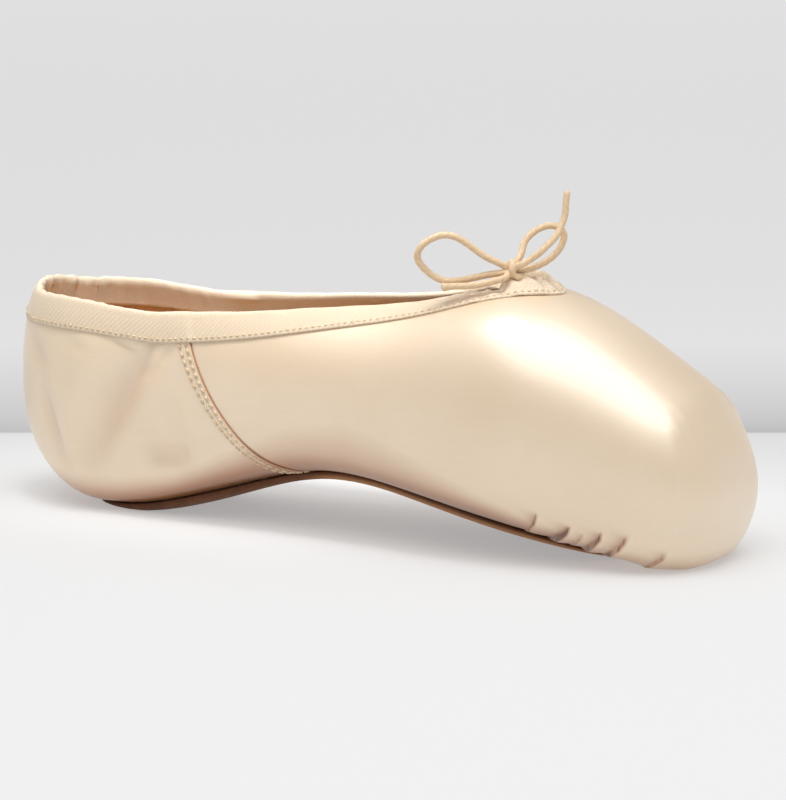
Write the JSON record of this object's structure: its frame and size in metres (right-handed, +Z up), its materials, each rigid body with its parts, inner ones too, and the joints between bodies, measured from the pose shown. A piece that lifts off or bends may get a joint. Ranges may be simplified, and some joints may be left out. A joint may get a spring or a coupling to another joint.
{
  "type": "pointe shoe",
  "caption": "Satin pointe shoe for either foot: hollow upper with a stiff round box and blunt platform, taped collar with a drawstring bow, thin leather sole and insole.",
  "frame": {"origin": "on the floor under the middle of the shoe's length and width, without the drawstring", "axes": "+X towards the toe, +Z up from the floor, Y across the shoe"},
  "size_m": [0.232, 0.074, 0.102],
  "materials": {
    "satin": "satin weave, soft gloss",
    "tape": "matt herringbone tape",
    "sole_leather": "worn, matt",
    "insole_board": "matt",
    "cord": "matt cotton"
  },
  "bodies": {
    "root": {"upper": "satin", "collar_binding": "tape", "outsole": "sole_leather", "insole": "insole_board", "drawstring_knot": "cord", "drawstring_lead_near": "cord", "drawstring_lead_far": "cord", "bow_loop_rear": "cord", "bow_loop_front": "cord", "drawstring_end_long": "cord", "drawstring_end_short": "cord"}
  },
  "joints": []
}
